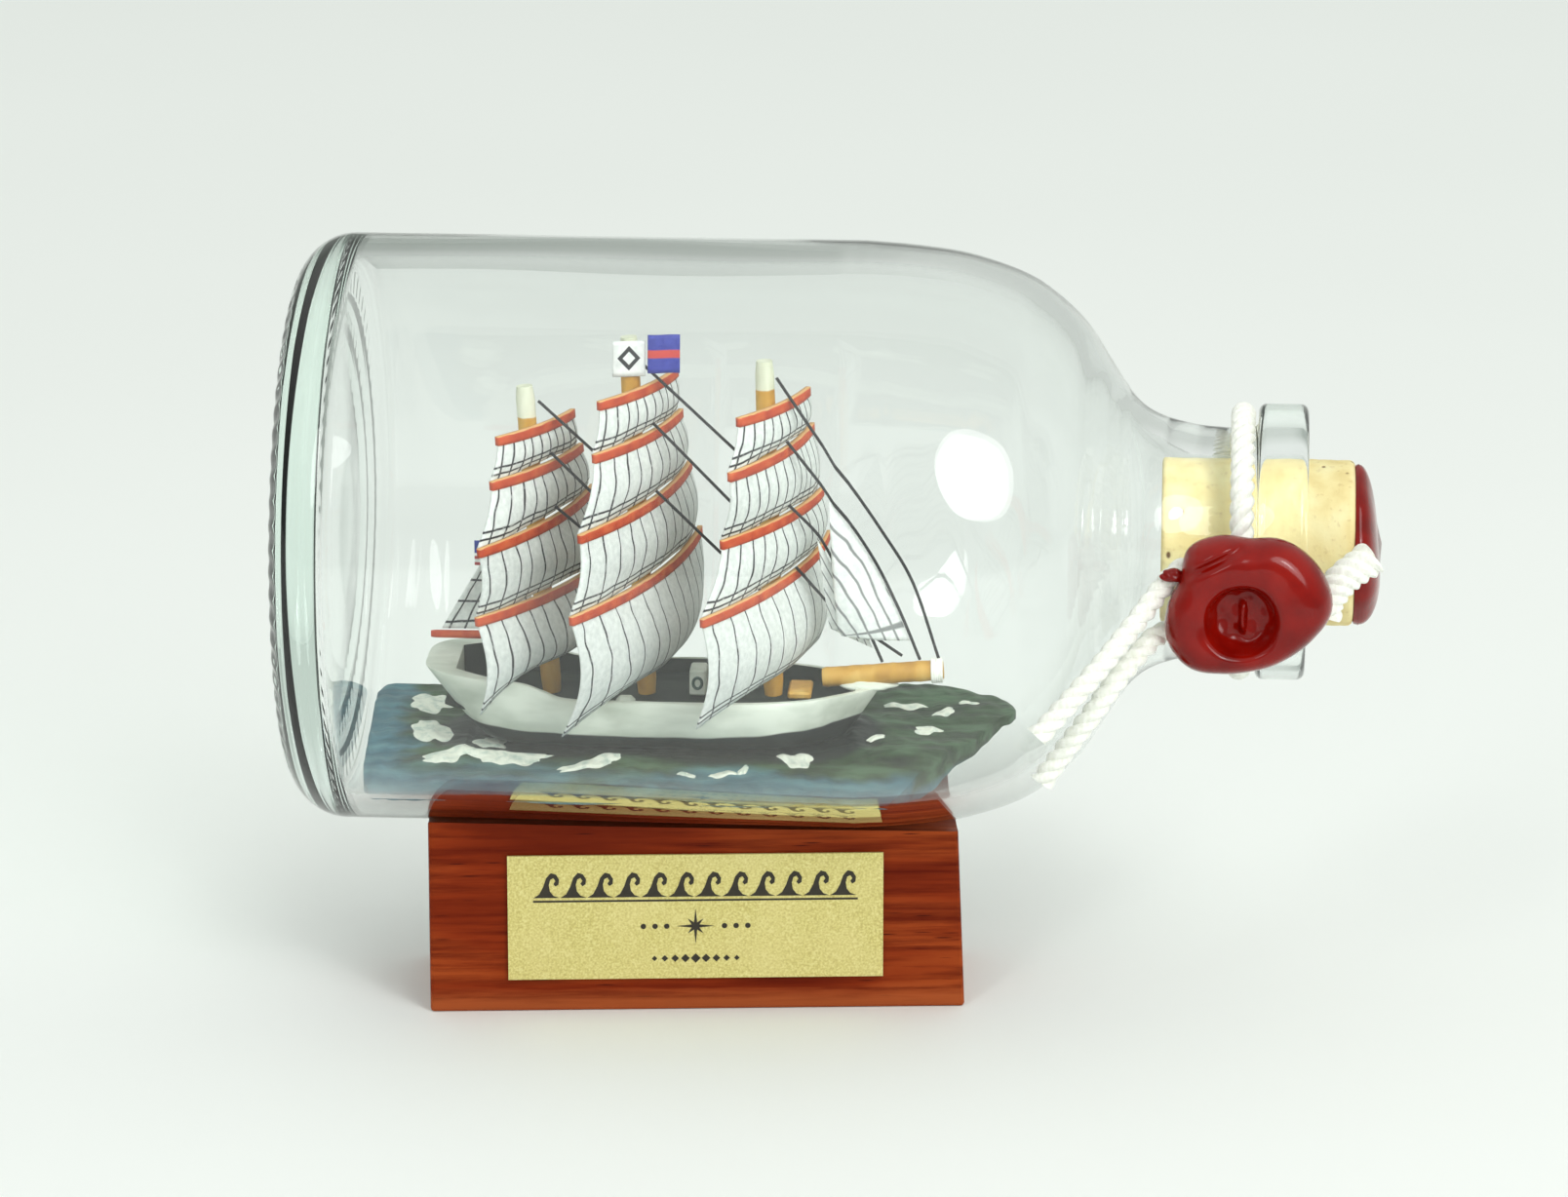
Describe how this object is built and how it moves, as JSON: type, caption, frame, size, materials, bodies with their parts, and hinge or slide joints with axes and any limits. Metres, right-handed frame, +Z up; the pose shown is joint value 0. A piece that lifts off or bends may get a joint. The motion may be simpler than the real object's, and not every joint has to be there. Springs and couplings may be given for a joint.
{
  "type": "ship in a bottle",
  "caption": "Three-masted model ship on a putty sea inside a glass bottle lying in a wooden cradle, with a corded cork and a wax seal.",
  "frame": {"origin": "on the table under the middle of the bottle's length and width, at the stand's underside", "axes": "+X from the bottle's base to its mouth, +Y to the back, +Z up; the label and the wax seal face -Y"},
  "size_m": [0.0784, 0.0426, 0.0558],
  "materials": {
    "varnished_wood": "varnished, satin",
    "label_foil": "matt gold foil",
    "glass": "clear moulded glass, faint green",
    "cork": "matt cork",
    "wax": "glossy sealing wax",
    "cotton_cord": "twisted cotton",
    "sea_putty": "painted putty",
    "hull_paint": "painted wood",
    "deck_paint": "dark painted wood",
    "spar_ochre": "ochre painted wood",
    "yard_orange": "orange painted wood",
    "sail_paper": "stiff printed paper",
    "rigging_thread": "black thread",
    "flag_blue": "printed paper",
    "ensign_cloth": "printed paper"
  },
  "bodies": {
    "stand": {"stand_block": "varnished_wood", "label_plate": "label_foil"},
    "bottle": {"bottle": "glass", "sea": "sea_putty", "neck_cord": "cotton_cord", "tie_cord": "cotton_cord", "wax_seal": "wax", "hull": "hull_paint", "deck": "deck_paint", "deck_house": "hull_paint", "deck_boat": "hull_paint", "windlass": "spar_ochre", "bowsprit": "spar_ochre", "spanker": "sail_paper", "spanker_boom": "yard_orange", "outer_jib": "sail_paper", "inner_jib": "sail_paper", "signal_flag_white": "sail_paper", "signal_flag_blue": "flag_blue", "ensign": "ensign_cloth", "mizzen_mast": "spar_ochre", "mizzen_royal": "sail_paper", "mizzen_royal_yard": "yard_orange", "mizzen_topgallant": "sail_paper", "mizzen_topgallant_yard": "yard_orange", "mizzen_topsail": "sail_paper", "mizzen_topsail_yard": "yard_orange", "mizzen_course": "sail_paper", "mizzen_course_yard": "yard_orange", "main_mast": "spar_ochre", "main_royal": "sail_paper", "main_royal_yard": "yard_orange", "main_topgallant": "sail_paper", "main_topgallant_yard": "yard_orange", "main_topsail": "sail_paper", "main_topsail_yard": "yard_orange", "main_course": "sail_paper", "main_course_yard": "yard_orange", "fore_mast": "spar_ochre", "fore_royal": "sail_paper", "fore_royal_yard": "yard_orange", "fore_topgallant": "sail_paper", "fore_topgallant_yard": "yard_orange", "fore_topsail": "sail_paper", "fore_topsail_yard": "yard_orange", "fore_course": "sail_paper", "fore_course_yard": "yard_orange", "mizzen_royal_stay": "rigging_thread", "mizzen_topgallant_stay": "rigging_thread", "mizzen_topmast_stay": "rigging_thread", "main_royal_stay": "rigging_thread", "main_topgallant_stay": "rigging_thread", "main_topmast_stay": "rigging_thread", "fore_royal_stay": "rigging_thread", "outer_jib_stay": "rigging_thread", "inner_jib_stay": "rigging_thread", "fore_topmast_stay": "rigging_thread"},
    "stopper": {"cork": "cork", "wax_cap": "wax", "cap_cord": "cotton_cord"}
  },
  "joints": [
    {"name": "bottle_lift", "type": "slide", "parent": "stand", "child": "bottle", "axis": [0, 0, 1], "range_m": [0, 0.03]},
    {"name": "stopper_pull", "type": "slide", "parent": "bottle", "child": "stopper", "axis": [1, 0, 0], "range_m": [0, 0.016]}
  ]
}
